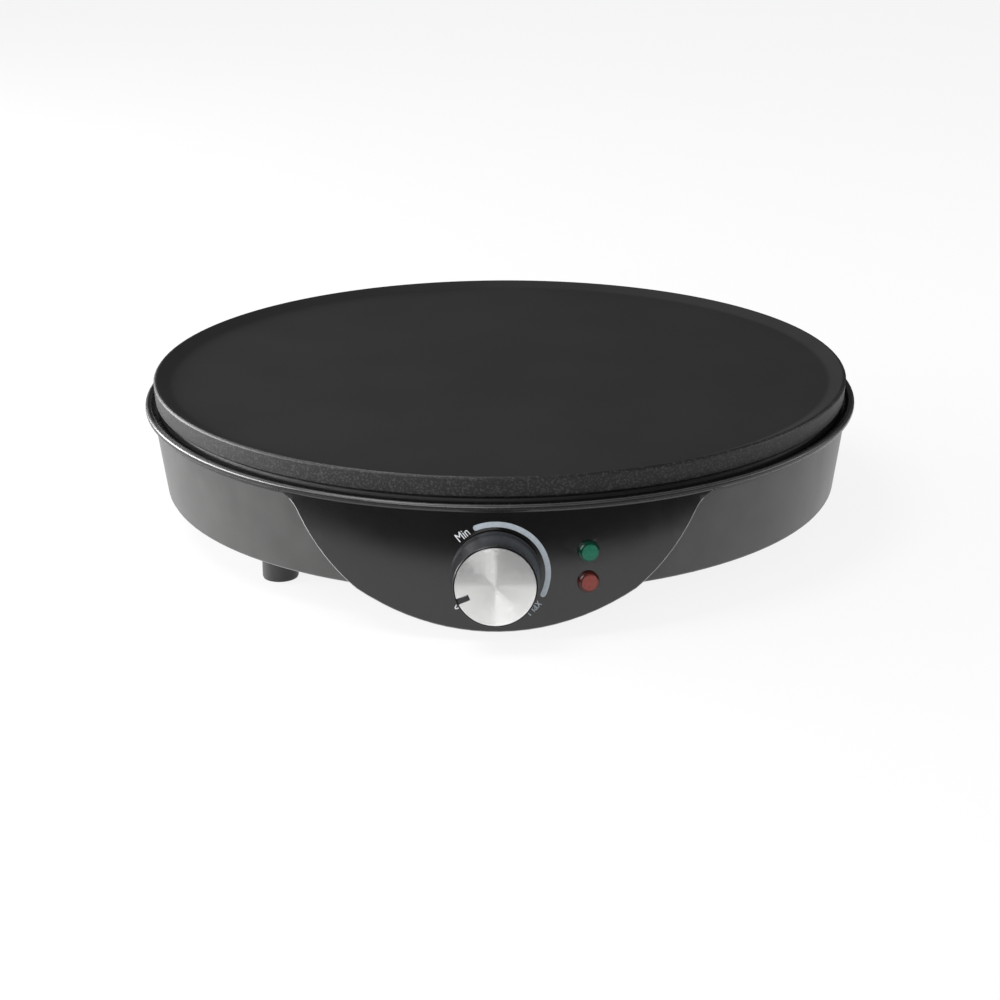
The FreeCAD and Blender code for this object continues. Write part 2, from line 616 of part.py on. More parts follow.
def knob_face_disc():
    """Spun aluminium disc let into the knob, notched for the pointer."""
    disc = rod(DISC_R, DISC_THICKNESS, UP * (KNOB_FRONT - DISC_THICKNESS))
    return placed(disc.cut(pointer_block(0.05)), DIAL)


def knob_spring_clip():
    """Spring strip between the spindle's flat and the knob's hub."""
    strip = block(Vector(-1.6, SPINDLE_FLAT + 0.02, 3.0), Vector(1.6, SPINDLE_FLAT + 0.32, 7.2))
    return placed(strip, DIAL)


def lamp_lens(lamp):
    """Clear coloured lens: a stepped round head outside the panel and a stem through it."""
    lens = lathe([
        (0, LENS_HEIGHT, 0), (LENS_R - 1.1, LENS_HEIGHT, 0.2), (LENS_R - 1.1, LENS_HEIGHT - 0.35, 0),
        (LENS_R, LENS_HEIGHT - 0.35, 0.8), (LENS_R, 0, 0), (LAMP_STEM_R, 0, 0), (LAMP_STEM_R, -8, 0),
        (0, -8, 0)])
    return placed(lens, lamp)


def lamp_bodies():
    return group([placed(rod(LAMP_STEM_R, 13.0, UP * -21), lamp) for lamp in LAMPS.values()])


def lamp_clips():
    return group([placed(sleeve(5.6, LAMP_STEM_R, 0.8, UP * -3.7), lamp) for lamp in LAMPS.values()])


def strap_hole(radius, centre):
    """Where a strap's screw enters the flat face that the strap hangs from."""
    return centre + Vector(0, -radius - STRAP_THICKNESS - STRAP_SCREW_STEP, radius)


def saddle(radius, half_width, centre):
    """Strap that hangs a bar along X from the flat face just above it, with one screwed flange."""
    over = radius + STRAP_THICKNESS
    start = RIGHT * -half_width
    end = RIGHT * half_width
    flange_end = -over - STRAP_SCREW_STEP - 3
    below = block(start + Vector(0, flange_end, -over), end + Vector(0, over, radius))
    solid = rod(over, 2 * half_width, start, RIGHT).fuse([
        block(start + Vector(0, -over, 0), end + Vector(0, over, radius)),
        block(start + Vector(0, flange_end, radius - STRAP_THICKNESS), end + Vector(0, 0, radius))])
    hollow = [rod(radius, 2 * half_width, start, RIGHT),
              block(start + Vector(0, -radius, 0), end + Vector(0, radius, radius)),
              rod(STRAP_SCREW_R + 0.1, 2, strap_hole(radius, ORIGIN) - UP * 1.5)]
    strap = solid.common(below).cut(hollow).removeSplitter()
    strap.translate(centre)
    return strap


def strap_screw(radius, centre):
    return screw(STRAP_SCREW_R, 3.8, 2.4, 1.3, strap_hole(radius, centre) - UP * STRAP_THICKNESS)


def bulb_centres():
    return [Vector(side * BULB_CLIP_X, BULB_Y, UNDERSIDE_Z - BULB_R) for side in (-1, 1)]


def fuse_centre():
    return Vector(FUSE_X, FUSE_Y, SHIELD_FLOOR_Z - FUSE_R)


def sensor_bulb():
    bulb = rod(BULB_R, 2 * BULB_HALF, Vector(-BULB_HALF, BULB_Y, UNDERSIDE_Z - BULB_R), RIGHT)
    return bulb.makeChamfer(0.8, [e for e in bulb.Edges if e.Closed])


def bulb_clips():
    return group([saddle(BULB_R, 3.0, centre) for centre in bulb_centres()])


def capillary_tube():
    """Thin copper tube from the thermostat, up through the shield, to the sensor's end."""
    bulb_z = UNDERSIDE_Z - BULB_R
    return bent_tube(CAPILLARY_R, 4.0, [
        Vector(CAPILLARY_X, -127.0, 28.0), Vector(CAPILLARY_X, CAPILLARY_Y, 28.0),
        Vector(CAPILLARY_X, CAPILLARY_Y, 44.0), Vector(BULB_HALF + 7.5, -74, 44.0),
        Vector(BULB_HALF + 7.5, BULB_Y, bulb_z), Vector(BULB_HALF, BULB_Y, bulb_z)])


def thermal_fuse():
    centre = fuse_centre()
    barrel = rod(FUSE_R, 22, centre - RIGHT * 11, RIGHT)
    leads = rod(0.6, 34, centre - RIGHT * 17, RIGHT)
    return barrel.fuse(leads)


def fuse_clip():
    return saddle(FUSE_R, 3.0, fuse_centre())


def clip_screws():
    screws = [strap_screw(BULB_R, centre) for centre in bulb_centres()]
    return group(screws + [strap_screw(FUSE_R, fuse_centre())])


def cord_gland():
    """Flanged bush through the rear wall, with the bore that the cord would fill."""
    front = GLAND_SEAT_Y + GLAND_FLANGE
    flange = rod(GLAND_R, GLAND_FLANGE, Vector(0, GLAND_SEAT_Y, CORD_Z), BACK)
    flange = flange.makeChamfer(0.7, [e for e in flange.Edges if e.Closed and e.CenterOfMass.y > front - 0.1])
    barrel = rod(GLAND_BARREL_R, GLAND_LENGTH, Vector(0, front - GLAND_LENGTH, CORD_Z), BACK)
    bore = rod(CORD_BORE_R, GLAND_LENGTH, Vector(0, front - GLAND_LENGTH, CORD_Z), BACK)
    return flange.fuse(barrel).cut(bore).removeSplitter()


def gland_nut():
    """Hexagon nut that pulls the gland's flange against the wall's pad."""
    base = Vector(0, PAD_INNER_Y - 4, CORD_Z)
    return prism(6, 8.6, 4, base, BACK).cut(rod(GLAND_BARREL_R + 0.02, 4, base, BACK))


def terminal_points(step):
    """Points over the terminal block's ways, a step in front of and behind its middle."""
    return [Vector(TERMINAL_BLOCK_X + x, TERMINAL_BLOCK_Y + y, LEDGE_Z + 6)
            for x in TERMINAL_WAYS for y in (-step, step)]


def terminal_block():
    """Porcelain block with three ways for the cord's cores."""
    width, depth, height = TERMINAL_BLOCK_SIZE
    middle = Vector(TERMINAL_BLOCK_X, TERMINAL_BLOCK_Y, LEDGE_Z)
    body = block(middle - Vector(width / 2, depth / 2, 0), middle + Vector(width / 2, depth / 2, height))
    ways = [rod(1.9, depth, middle + Vector(x, -depth / 2, 6), BACK) for x in TERMINAL_WAYS]
    wells = [rod(1.9, 7, point) for point in terminal_points(4)]
    return body.cut(ways + wells)


def terminal_block_screws():
    return group([rod(1.7, 4.6, point + UP * 0.6) for point in terminal_points(4)])


PIECES = {
    "griddle_plate": griddle_plate,
    "heating_element": element_bar,
    "element_clamps": element_clamps,
    "clamp_screws": clamp_screws,
    "element_end_seals": element_end_seals,
    "element_terminals": element_terminals,
    "heat_shield": heat_shield,
    "plate_spacers": plate_spacers,
    "plate_screws": plate_screws,
    "shield_screws": shield_screws,
    "rim_and_fascia": rim_and_fascia,
    "side_housing": side_housing,
    "bottom_cover": bottom_cover,
    "cover_screws": cover_screws,
    "foot_screws": foot_screws,
    "thermostat_bracket": thermostat_bracket,
    "thermostat_body": thermostat_body,
    "thermostat_nut": thermostat_nut,
    "bracket_screws": bracket_screws,
    "thermostat_spindle": thermostat_spindle,
    "knob_shell": knob_shell,
    "knob_face_disc": knob_face_disc,
    "knob_spring_clip": knob_spring_clip,
    "green_lamp_lens": lambda: lamp_lens(LAMPS["green"]),
    "red_lamp_lens": lambda: lamp_lens(LAMPS["red"]),
    "lamp_bodies": lamp_bodies,
    "lamp_clips": lamp_clips,
    "sensor_bulb": sensor_bulb,
    "bulb_clips": bulb_clips,
    "capillary_tube": capillary_tube,
    "thermal_fuse": thermal_fuse,
    "fuse_clip": fuse_clip,
    "clip_screws": clip_screws,
    "cord_gland": cord_gland,
    "gland_nut": gland_nut,
    "terminal_block": terminal_block,
    "terminal_block_screws": terminal_block_screws,
}


def step_back():
    """Step that centres the footprint between the knob's rim in front and the collar's rear."""
    knob_rim = DIAL.multVec(Vector(0, -KNOB_TOP_R, KNOB_FRONT))
    return BACK * ((-knob_rim.y - COLLAR_R) / 2)


def main():
    pieces = {name: make() for name, make in PIECES.items()}
    for name, angle in FOOT_ANGLES.items():
        pieces[name] = foot(angle)
    os.makedirs("parts", exist_ok=True)
    for name, shape in pieces.items():
        shape.translate(step_back())
        shape.exportStep(os.path.join("parts", name + ".step"))
    print("griddle axis at y =", round(step_back().y, 4))
    print("dial at", DIAL.Base + step_back(), "facing", DIAL.Rotation.multVec(UP))


main()
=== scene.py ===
"""Finishes, rounded edges, screw heads, dial print and studio for an electric crepe maker."""
import json
import math

import bpy
from mathutils import Matrix, Vector


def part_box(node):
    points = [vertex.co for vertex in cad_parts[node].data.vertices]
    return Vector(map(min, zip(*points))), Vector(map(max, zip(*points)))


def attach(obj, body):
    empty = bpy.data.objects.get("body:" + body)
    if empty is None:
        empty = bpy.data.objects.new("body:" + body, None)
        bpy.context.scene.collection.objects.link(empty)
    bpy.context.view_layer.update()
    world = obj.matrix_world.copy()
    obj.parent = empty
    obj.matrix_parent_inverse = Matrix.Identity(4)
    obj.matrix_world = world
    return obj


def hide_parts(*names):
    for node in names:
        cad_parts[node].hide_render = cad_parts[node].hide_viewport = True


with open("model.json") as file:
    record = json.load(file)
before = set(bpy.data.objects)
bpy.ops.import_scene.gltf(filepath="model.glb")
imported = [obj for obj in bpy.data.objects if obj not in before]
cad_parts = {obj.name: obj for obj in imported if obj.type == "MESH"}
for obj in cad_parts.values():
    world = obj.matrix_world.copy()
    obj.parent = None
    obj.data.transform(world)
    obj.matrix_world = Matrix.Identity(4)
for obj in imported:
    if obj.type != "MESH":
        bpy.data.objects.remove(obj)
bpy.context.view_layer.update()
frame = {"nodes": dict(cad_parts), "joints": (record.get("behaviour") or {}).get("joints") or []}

bl_info = {
    "name": "Crepe Maker Finishes",
    "version": (1, 0, 0),
    "blender": (4, 5, 0),
    "location": "3D View > Sidebar > Crepe Maker",
    "description": "Finishes, rounded edges, screws, dial print and studio for an electric crepe maker",
    "category": "Add Mesh",
}

HOUSING = "cooker"
KNOB = "dial"


def centre_of(node):
    low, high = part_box(node)
    return (low + high) / 2


AXIS = centre_of("griddle_plate") * Vector((1, 1, 0))
RIM_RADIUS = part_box("griddle_plate")[1].x - AXIS.x
COLLAR_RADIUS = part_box("rim_and_fascia")[1].x - AXIS.x
DIAL_JOINT = next(joint for joint in frame["joints"] if joint["name"] == "dial_turn")
DIAL = Vector(DIAL_JOINT["pos_m"])
DIAL_OUT = -Vector(DIAL_JOINT["axis"]).normalized()
DISC_CENTRE = centre_of("knob_face_disc")

# Bands over which a finish changes, in metres: from the upright axis, or above the table
SKIRT_RADIUS = (RIM_RADIUS - 0.0016, RIM_RADIUS - 0.0010)
GUTTER_RADIUS = (COLLAR_RADIUS - 0.0060, COLLAR_RADIUS - 0.0050)
# Painted highlights lie on the rounded edges along the crest and below the border height
CREST_RADIUS = (COLLAR_RADIUS - 0.0016, COLLAR_RADIUS - 0.0014)
BORDER_HEIGHT = (0.0490, 0.0494)
GUTTER_HEIGHT = (0.0495, 0.0500)
LIP_HEIGHT = (0.0515, 0.0525)
CREST_HEIGHT = (0.0532, 0.0535)

# The same from the middle of the knob's disc and of a lens
# Painted shade: the knob's ring round its disc is drawn black, standing for the shadow in the slit between
# them
SHADE_RING_INNER_RADIUS = (0.01515, 0.01520)
SHADE_RING_OUTER_RADIUS = (0.01565, 0.01575)
SHADE_RING_DEPTH = (-0.0008, -0.0006)
LENS_RIM_RADIUS = (0.0030, 0.0034)

METALS = {
    "element_sheath": {"colour": (0.10, 0.095, 0.09, 1), "rough": 0.48},
    "plated_steel": {"colour": (0.62, 0.62, 0.60, 1), "rough": 0.34},
    "aluminised_sheet": {"colour": (0.66, 0.66, 0.66, 1), "rough": 0.38, "scale": 300},
    "brass_fittings": {"colour": (0.72, 0.55, 0.28, 1), "rough": 0.30},
    "copper": {"colour": (0.72, 0.40, 0.27, 1), "rough": 0.30},
}
MOULDINGS = {
    "porcelain": {"colour": (0.78, 0.75, 0.68, 1), "rough": 0.35, "scale": 900},
    "phenolic": {"colour": (0.030, 0.022, 0.018, 1), "rough": 0.45},
    "foot_rubber": {"colour": (0.024, 0.024, 0.024, 1), "rough": 0.50, "scale": 1200, "depth": 0.00008},
    "gland_rubber": {"colour": (0.016, 0.016, 0.016, 1), "rough": 0.68, "scale": 1200, "depth": 0.00010},
    "lamp_plastic": {"colour": (0.74, 0.74, 0.70, 1), "rough": 0.45},
}

# Black of the painted shade round the knob's face disc
PAINTED_SHADE_COLOUR = (0.001, 0.001, 0.001, 1)
SLEEVE_HOLLOW = (0.52, 0.48, 0.38, 1)
SLEEVE_STRAND = (0.80, 0.76, 0.66, 1)
GROOVE_TILT = 1.6

MERGE_DISTANCE = 1e-6
PICK_DISTANCE = 1e-5
COPLANAR = math.radians(0.3)
SHELL_CREASE = math.radians(28)
SCREW_CREASE = math.radians(35)
EDGE_SEGMENTS = 3

# Places of the screws under the base: clock angles round the upright axis, then sizes in metres
SCREWS = (
    {"node": "cover_screws", "clocks": (-145, -90, -35, 35, 90, 145), "ring": 0.137, "seat": 0.0148,
     "head": 0.0036, "shank": 0.0017, "length": 0.0230},
    {"node": "foot_screws", "clocks": (-45, 75, 195), "ring": 0.126, "seat": 0.0080,
     "head": 0.0032, "shank": 0.0016, "length": 0.0145},
)
SCREW_SIDES = 32
HEAD_SEGMENTS = 5
RECESS_TURNS = 3
RECESS_TAPER = 0.6

ARC_STEPS = 110
ARC_END_STEPS = 14
INK_START = 0.001
CAPITAL_SHARE = 0.70
LETTER_NARROWING = 0.75
WORDS = (
    {"name": "printed_min", "text": "Min", "clock": -39, "radius": 0.0197, "turn": 0, "ink": "letter_ink"},
    # Max is printed in the greyer arc ink as painted shade, since the knob's shadow falls on it
    {"name": "printed_max", "text": "Max", "clock": 134, "radius": 0.0196, "turn": 180, "ink": "arc_ink"},
    {"name": "printed_0", "text": "0", "clock": -132, "radius": 0.0194, "turn": 180, "ink": "letter_ink"},
)

WORLD_LIGHT = 0.32
WORLD_IN_GLOSS = 0.07
FLOOR_RADIUS = 6
FLOOR_SIDES = 96
FLOOR_COLOUR = (0.86, 0.86, 0.86, 1)
FLOOR_WHITE_SHARE = 0.86
FLOOR_SQUEEZE = (0.80, 1, 1)
NEAR_FLOOR = (0.254, 0.292)
FAR_FLOOR_IN_GLOSS = 0.04
LIGHT_TARGET = AXIS + Vector((0, 0, 0.04))
SOFTBOXES = (
    {"name": "left softbox", "place": (-1.10, 0.18, 0.25), "power": 32, "width": 1.4, "height": 0.46},
    {"name": "right softbox", "place": (1.15, 0.15, 0.36), "power": 3.2, "width": 0.8, "height": 0.6},
    {"name": "overhead softbox", "place": (-0.50, -0.28, 1.20), "power": 9, "width": 0.6, "height": 0.6},
    {"name": "front softbox", "place": (-0.42, -1.25, 0.36), "power": 6, "width": 0.9, "height": 0.5},
)
CAMERA_PLACE = Vector((0.0115, -0.9325, 0.340))
CAMERA_TARGET = Vector((-0.0002, 0.0085, 0.0010))
CAMERA_ROLL = -0.006
CAMERA_LENS = 80.6
CAMERA_FRAME = 36.0


class DialMarkSizes(bpy.types.PropertyGroup):
    """Sizes of the marks printed round the dial"""

    arc_outer: bpy.props.FloatProperty(
        name="Heat arc radius", description="Outer radius of the printed heat arc",
        default=0.0208, unit="LENGTH")
    arc_width: bpy.props.FloatProperty(
        name="Heat arc width", description="Width of the printed heat arc",
        default=0.0021, unit="LENGTH")
    arc_start: bpy.props.FloatProperty(
        name="Heat arc start", description="Clock angle at which the heat arc starts",
        default=math.radians(-22), unit="ROTATION")
    arc_end: bpy.props.FloatProperty(
        name="Heat arc end", description="Clock angle at which the heat arc ends",
        default=math.radians(115.5), unit="ROTATION")
    letter_height: bpy.props.FloatProperty(
        name="Letter height", description="Height of the capitals printed beside the dial",
        default=0.0036, unit="LENGTH")
    print_lift: bpy.props.FloatProperty(
        name="Print thickness", description="How far the ink stands off the panel",
        default=0.00012, unit="LENGTH")


class EdgeSizes(bpy.types.PropertyGroup):
    """How far the edges of the shells that show are rounded"""

    moulding: bpy.props.FloatProperty(
        name="Moulded edge", description="Width of the rounding on the edges of the mouldings",
        default=0.0004, unit="LENGTH")
    casting: bpy.props.FloatProperty(
        name="Cast edge", description="Width of the rounding on the edges of the griddle",
        default=0.0007, unit="LENGTH")


class ScrewSizes(bpy.types.PropertyGroup):
    """Sizes of the pan heads and cross recesses of the screws under the base"""

    head_height: bpy.props.FloatProperty(
        name="Head height", description="Height of the pan heads",
        default=0.0022, unit="LENGTH")
    recess_width: bpy.props.FloatProperty(
        name="Recess width", description="Tip to tip width of the cross recess",
        default=0.0034, unit="LENGTH")
    recess_slot: bpy.props.FloatProperty(
        name="Slot width", description="Width of each arm of the cross recess",
        default=0.0008, unit="LENGTH")
    recess_depth: bpy.props.FloatProperty(
        name="Recess depth", description="Depth of the cross recess",
        default=0.0010, unit="LENGTH")


class FinishColours(bpy.types.PropertyGroup):
    """Colours of the finishes that show"""

    coating: bpy.props.FloatVectorProperty(
        name="Non-stick coating", description="Dark coating of the cast griddle", subtype="COLOR",
        size=4, default=(0.017, 0.017, 0.018, 1))
    gloss: bpy.props.FloatVectorProperty(
        name="Gloss black", description="Collar and front panel", subtype="COLOR",
        size=4, default=(0.006, 0.006, 0.006, 1))
    satin: bpy.props.FloatVectorProperty(
        name="Satin black", description="Tapered side wall", subtype="COLOR",
        size=4, default=(0.045, 0.045, 0.044, 1))
    # Grey of the painted highlights on the rounded edges; away from crest and border they are drawn nearly
    # black
    edge: bpy.props.FloatVectorProperty(
        name="Painted edge highlight", description="Rounded edges of collar, front panel and wall", subtype="COLOR",
        size=4, default=(0.30, 0.30, 0.30, 1))
    knob: bpy.props.FloatVectorProperty(
        name="Knob black", description="Moulded knob", subtype="COLOR",
        size=4, default=(0.018, 0.018, 0.020, 1))
    aluminium: bpy.props.FloatVectorProperty(
        name="Aluminium", description="Spun face of the knob", subtype="COLOR",
        size=4, default=(0.90, 0.90, 0.89, 1))
    mark: bpy.props.FloatVectorProperty(
        name="Heat arc ink", description="Grey ink of the heat arc", subtype="COLOR",
        size=4, default=(0.42, 0.47, 0.52, 1))
    letter: bpy.props.FloatVectorProperty(
        name="Letter ink", description="White ink of the letters", subtype="COLOR",
        size=4, default=(0.66, 0.69, 0.72, 1))
    green: bpy.props.FloatVectorProperty(
        name="Green lens", description="Upper indicator lens", subtype="COLOR",
        size=4, default=(0.010, 0.125, 0.075, 1))
    red: bpy.props.FloatVectorProperty(
        name="Red lens", description="Lower indicator lens", subtype="COLOR",
        size=4, default=(0.190, 0.030, 0.022, 1))


class Field:
    """One shader socket; arithmetic on it adds the maths nodes."""

    def __init__(self, nodes, socket):
        self.nodes = nodes
        self.socket = socket

    def maths(self, operation, first, second):
        return self.nodes.node("ShaderNodeMath", {"operation": operation}, {0: first, 1: second})

    def __add__(self, other):
        return self.maths("ADD", self, other)

    __radd__ = __add__

    def __sub__(self, other):
        return self.maths("SUBTRACT", self, other)

    def __rsub__(self, other):
        return self.maths("SUBTRACT", other, self)

    def __mul__(self, other):
        return self.maths("MULTIPLY", self, other)

    __rmul__ = __mul__

    def at_least(self, other):
        return self.maths("MAXIMUM", self, other)

    def ramp(self, low, high, start=0.0, end=1.0):
        """Start below low, end above high and smooth between them."""
        return self.nodes.node("ShaderNodeMapRange", {"interpolation_type": "SMOOTHSTEP"}, {
            "Value": self, "From Min": low, "From Max": high, "To Min": start, "To Max": end})

    def fall(self, low, high):
        """1 below low, 0 above high and smooth between them."""
        return self.ramp(low, high, 1.0, 0.0)


class Nodes:
    """The node tree of a material or of the world."""

    def __init__(self, tree):
        self.tree = tree

    def node(self, kind, settings=None, inputs=None, output=0):
        """Adds a node: its settings first, then the values or links of its sockets."""
        node = self.tree.nodes.new(kind)
        for key, value in (settings or {}).items():
            setattr(node, key, value)
        for key, value in (inputs or {}).items():
            self.feed(node.inputs[key], value)
        return Field(self, node.outputs[output])

    def feed(self, socket, value):
        if isinstance(value, Field):
            self.tree.links.new(value.socket, socket)
        else:
            socket.default_value = value

    def vector(self, operation, first, second=(0, 0, 0), output="Vector"):
        return self.node("ShaderNodeVectorMath", {"operation": operation}, {0: first, 1: second}, output)

    def rays(self):
        """Rays seen by the camera, straight or through clear pieces, and rays seen in gloss."""
        straight = self.node("ShaderNodeLightPath", output="Is Camera Ray")
        through = self.node("ShaderNodeLightPath", output="Is Transmission Ray")
        return straight.at_least(through), self.node("ShaderNodeLightPath", output="Is Glossy Ray")


class Finish(Nodes):
    """A material on one Principled shader; its constants sit on the shader's own sockets."""

    def __init__(self, name, ior=1.5, metallic=0.0):
        self.material = bpy.data.materials.new(name)
        self.material.use_nodes = True
        super().__init__(self.material.node_tree)
        self.set("IOR", ior)
        self.set("Metallic", metallic)

    def set(self, socket, value):
        self.feed(self.tree.nodes["Principled BSDF"].inputs[socket], value)

    def from_point(self, centre):
        """Object coordinates measured from a point."""
        return self.vector("SUBTRACT", self.node("ShaderNodeTexCoord", output="Object"), centre)

    def height(self, vector):
        return self.node("ShaderNodeSeparateXYZ", inputs={0: vector}, output="Z")

    def length(self, vector):
        return self.vector("LENGTH", vector, output="Value")

    def radius(self, vector):
        """Distance from the upright axis through the origin of a vector."""
        return self.length(self.vector("MULTIPLY", vector, (1, 1, 0)))

    def noise(self, vector, scale, detail=2.0, roughness=0.5):
        return self.node("ShaderNodeTexNoise", inputs={
            "Vector": vector, "Scale": scale, "Detail": detail, "Roughness": roughness})

    def mix(self, factor, first, second):
        return self.node("ShaderNodeMix", {"data_type": "RGBA"}, {0: factor, 6: first, 7: second}, output=2)

    def drift(self, noise, colour, spread):
        """A colour that drifts a little, as mouldings and coatings do."""
        return self.mix(noise.ramp(0.3, 0.7), tint(colour, 1 - spread), tint(colour, 1 + spread))

    def bump(self, height, strength, distance):
        self.set("Normal", self.node("ShaderNodeBump", inputs={
            "Height": height, "Strength": strength, "Distance": distance}))


def tint(colour, share):
    """A colour made lighter or darker by a share of itself."""
    return (*(min(1.0, part * share) for part in colour[:3]), 1)


def nonstick_coating(colours):
    """Cast aluminium under a dark coating: fine grain on top, flecks on the skirt."""
    finish = Finish("nonstick_coating")
    spot = finish.from_point(AXIS)
    grain = finish.noise(spot, scale=2600, detail=2.0, roughness=0.6)
    cloud = finish.noise(spot, scale=22, detail=3.0)
    side = finish.radius(spot).ramp(*SKIRT_RADIUS)
    fleck = finish.noise(spot, scale=1100, detail=3.0, roughness=0.7).ramp(0.50, 0.62)
    skirt = finish.mix(fleck, tint(colours.coating, 0.4), tint(colours.coating, 2.1))
    top = finish.drift(cloud, colours.coating, spread=0.06)
    finish.set("Base Color", finish.mix(side, top, skirt))
    finish.set("Roughness", 0.40 + 0.05 * grain + 0.05 * cloud + 0.06 * side)
    finish.bump(grain, strength=0.25, distance=0.00003)
    return finish.material


def gloss_black(colours):
    """High-gloss moulding with the faint waviness of a thin wall, duller on its lip and in the gutter."""
    finish = Finish("gloss_black_moulding", ior=1.62)
    spot = finish.from_point(AXIS)
    height = finish.height(spot)
    gutter = finish.radius(spot).fall(*GUTTER_RADIUS) * height.ramp(*GUTTER_HEIGHT)
    lip = height.ramp(*LIP_HEIGHT)
    cloud = finish.noise(spot, scale=40, detail=3.0)
    haze = finish.noise(spot, scale=300, detail=3.0)
    finish.set("Base Color", finish.drift(cloud, colours.gloss, spread=0.10))
    finish.set("Roughness", 0.10 + 0.06 * haze + 0.14 * lip + 0.35 * gutter)
    wave = finish.noise(spot, scale=55, detail=1.0)
    finish.bump(wave, strength=0.10, distance=0.0004)
    return finish.material


def satin_black(colours):
    """Spark-eroded satin texture on the tapered wall."""
    finish = Finish("satin_black_moulding", ior=1.52)
    spot = finish.from_point(AXIS)
    grain = finish.noise(spot, scale=1800, detail=2.0, roughness=0.6)
    cloud = finish.noise(spot, scale=60, detail=3.0)
    finish.set("Base Color", finish.drift(cloud, colours.satin, spread=0.12))
    finish.set("Roughness", 0.33 + 0.08 * grain)
    finish.bump(grain, strength=0.22, distance=0.00005)
    return finish.material


def base_plastic(colours):
    """Matte plastic of the underside, with flow marks."""
    finish = Finish("base_plastic", ior=1.47)
    spot = finish.from_point(AXIS)
    cloud = finish.noise(spot, scale=30, detail=3.0)
    finish.set("Base Color", finish.drift(cloud, tint(colours.satin, 0.9), spread=0.15))
    finish.set("Roughness", 0.50 + 0.15 * finish.noise(spot, scale=90, detail=3.0))
    grain = finish.noise(spot, scale=1400, detail=3.0, roughness=0.6)
    finish.bump(grain, strength=0.30, distance=0.00006)
    return finish.material


def knob_black(colours):
    """Smooth black moulding of the knob, with painted shade round its face disc: a ring drawn black and
    metallic, so it shows no reflection, standing for the shadow in the slit between disc and shell.
    """
    finish = Finish("knob_black")
    spot = finish.from_point(DIAL)
    from_disc = finish.from_point(DISC_CENTRE)
    across = finish.length(finish.vector("CROSS_PRODUCT", from_disc, DIAL_OUT))
    ahead = finish.vector("DOT_PRODUCT", from_disc, DIAL_OUT, "Value")
    # Painted shade: the ring round the disc is black and fully metallic, so it reflects nothing, as if in
    # shadow
    painted_shade_ring = across.ramp(*SHADE_RING_INNER_RADIUS) * across.fall(*SHADE_RING_OUTER_RADIUS) * ahead.ramp(*SHADE_RING_DEPTH)
    body = finish.drift(finish.noise(spot, scale=150, detail=3.0), colours.knob, spread=0.12)
    finish.set("Base Color", finish.mix(painted_shade_ring, body, PAINTED_SHADE_COLOUR))
    finish.set("Metallic", painted_shade_ring)
    finish.set("Roughness", 0.24 + 0.10 * finish.noise(spot, scale=260, detail=3.0))
    finish.bump(finish.noise(spot, scale=2200), strength=0.12, distance=0.00003)
    return finish.material


def spun_aluminium(colours):
    """Face turned on a lathe: fine rings that draw the light into wedges."""
    finish = Finish("spun_aluminium", metallic=1.0)
    spot = finish.from_point(DISC_CENTRE)
    ring = finish.node("ShaderNodeCombineXYZ", inputs={"X": finish.length(spot)})
    tilt = (finish.noise(ring, scale=400000, detail=1.0) - 0.5) * GROOVE_TILT
    outward = finish.vector("NORMALIZE", spot)
    lean = finish.node("ShaderNodeVectorMath", {"operation": "SCALE"}, {0: outward, "Scale": tilt})
    combed = finish.vector("ADD", finish.node("ShaderNodeNewGeometry", output="Normal"), lean)
    shade = finish.noise(ring, scale=2200).ramp(0.3, 0.7)
    bright = finish.mix(shade, tint(colours.aluminium, 0.98), tint(colours.aluminium, 1.02))
    finish.set("Base Color", bright)
    finish.set("Roughness", 0.15 + 0.03 * shade)
    finish.set("Normal", finish.vector("NORMALIZE", combed))
    return finish.material


def lens(name, colour, centre):
    """Clear coloured lens, darker towards its rim, over a lamp that is off."""
    finish = Finish(name, ior=1.45)
    spot = finish.from_point(centre)
    outward = (centre * Vector((1, 1, 0)) - AXIS).normalized()
    across = finish.length(finish.vector("CROSS_PRODUCT", spot, outward))
    facet = finish.noise(spot, scale=900).ramp(0.35, 0.65)
    body = finish.mix(facet, tint(colour, 0.9), tint(colour, 1.15))
    finish.set("Base Color", finish.mix(across.ramp(*LENS_RIM_RADIUS), body, tint(colour, 0.22)))
    finish.set("Roughness", 0.10 + 0.06 * facet)
    return finish.material


def plain_metal(name, colour, rough, scale=700):
    """Bright or dull metal with a fine drawn or plated surface."""
    finish = Finish(name, metallic=1.0)
    spot = finish.from_point(AXIS)
    grain = finish.noise(spot, scale=scale, detail=3.0, roughness=0.6)
    cloud = finish.noise(spot, scale=160, detail=3.0)
    finish.set("Base Color", finish.drift(cloud, colour, spread=0.10))
    finish.set("Roughness", rough - 0.06 + 0.14 * grain)
    finish.bump(grain, strength=0.2, distance=0.00003)
    return finish.material


def plain_moulding(name, colour, rough, scale=1500, depth=0.00005):
    """Plastic, rubber or ceramic with a fine even texture."""
    finish = Finish(name, ior=1.48)
    spot = finish.from_point(AXIS)
    grain = finish.noise(spot, scale=scale, detail=3.0, roughness=0.6)
    cloud = finish.noise(spot, scale=120, detail=3.0)
    finish.set("Base Color", finish.drift(cloud, colour, spread=0.12))
    finish.set("Roughness", rough - 0.05 + 0.10 * grain)
    finish.bump(grain, strength=0.3, distance=depth)
    return finish.material


def woven_sleeve():
    """Glass-fibre sleeve: crossed strands."""
    finish = Finish("fuse_sleeve", ior=1.45)
    spot = finish.from_point(centre_of("thermal_fuse"))
    across, along = (finish.node("ShaderNodeTexWave", {"bands_direction": way}, {
        "Vector": spot, "Scale": 420.0}, output="Fac") for way in ("X", "Z"))
    weave = across * along
    finish.set("Base Color", finish.mix(weave, SLEEVE_HOLLOW, SLEEVE_STRAND))
    finish.set("Roughness", 0.80 + 0.10 * weave)
    finish.bump(weave, strength=0.5, distance=0.0001)
    return finish.material


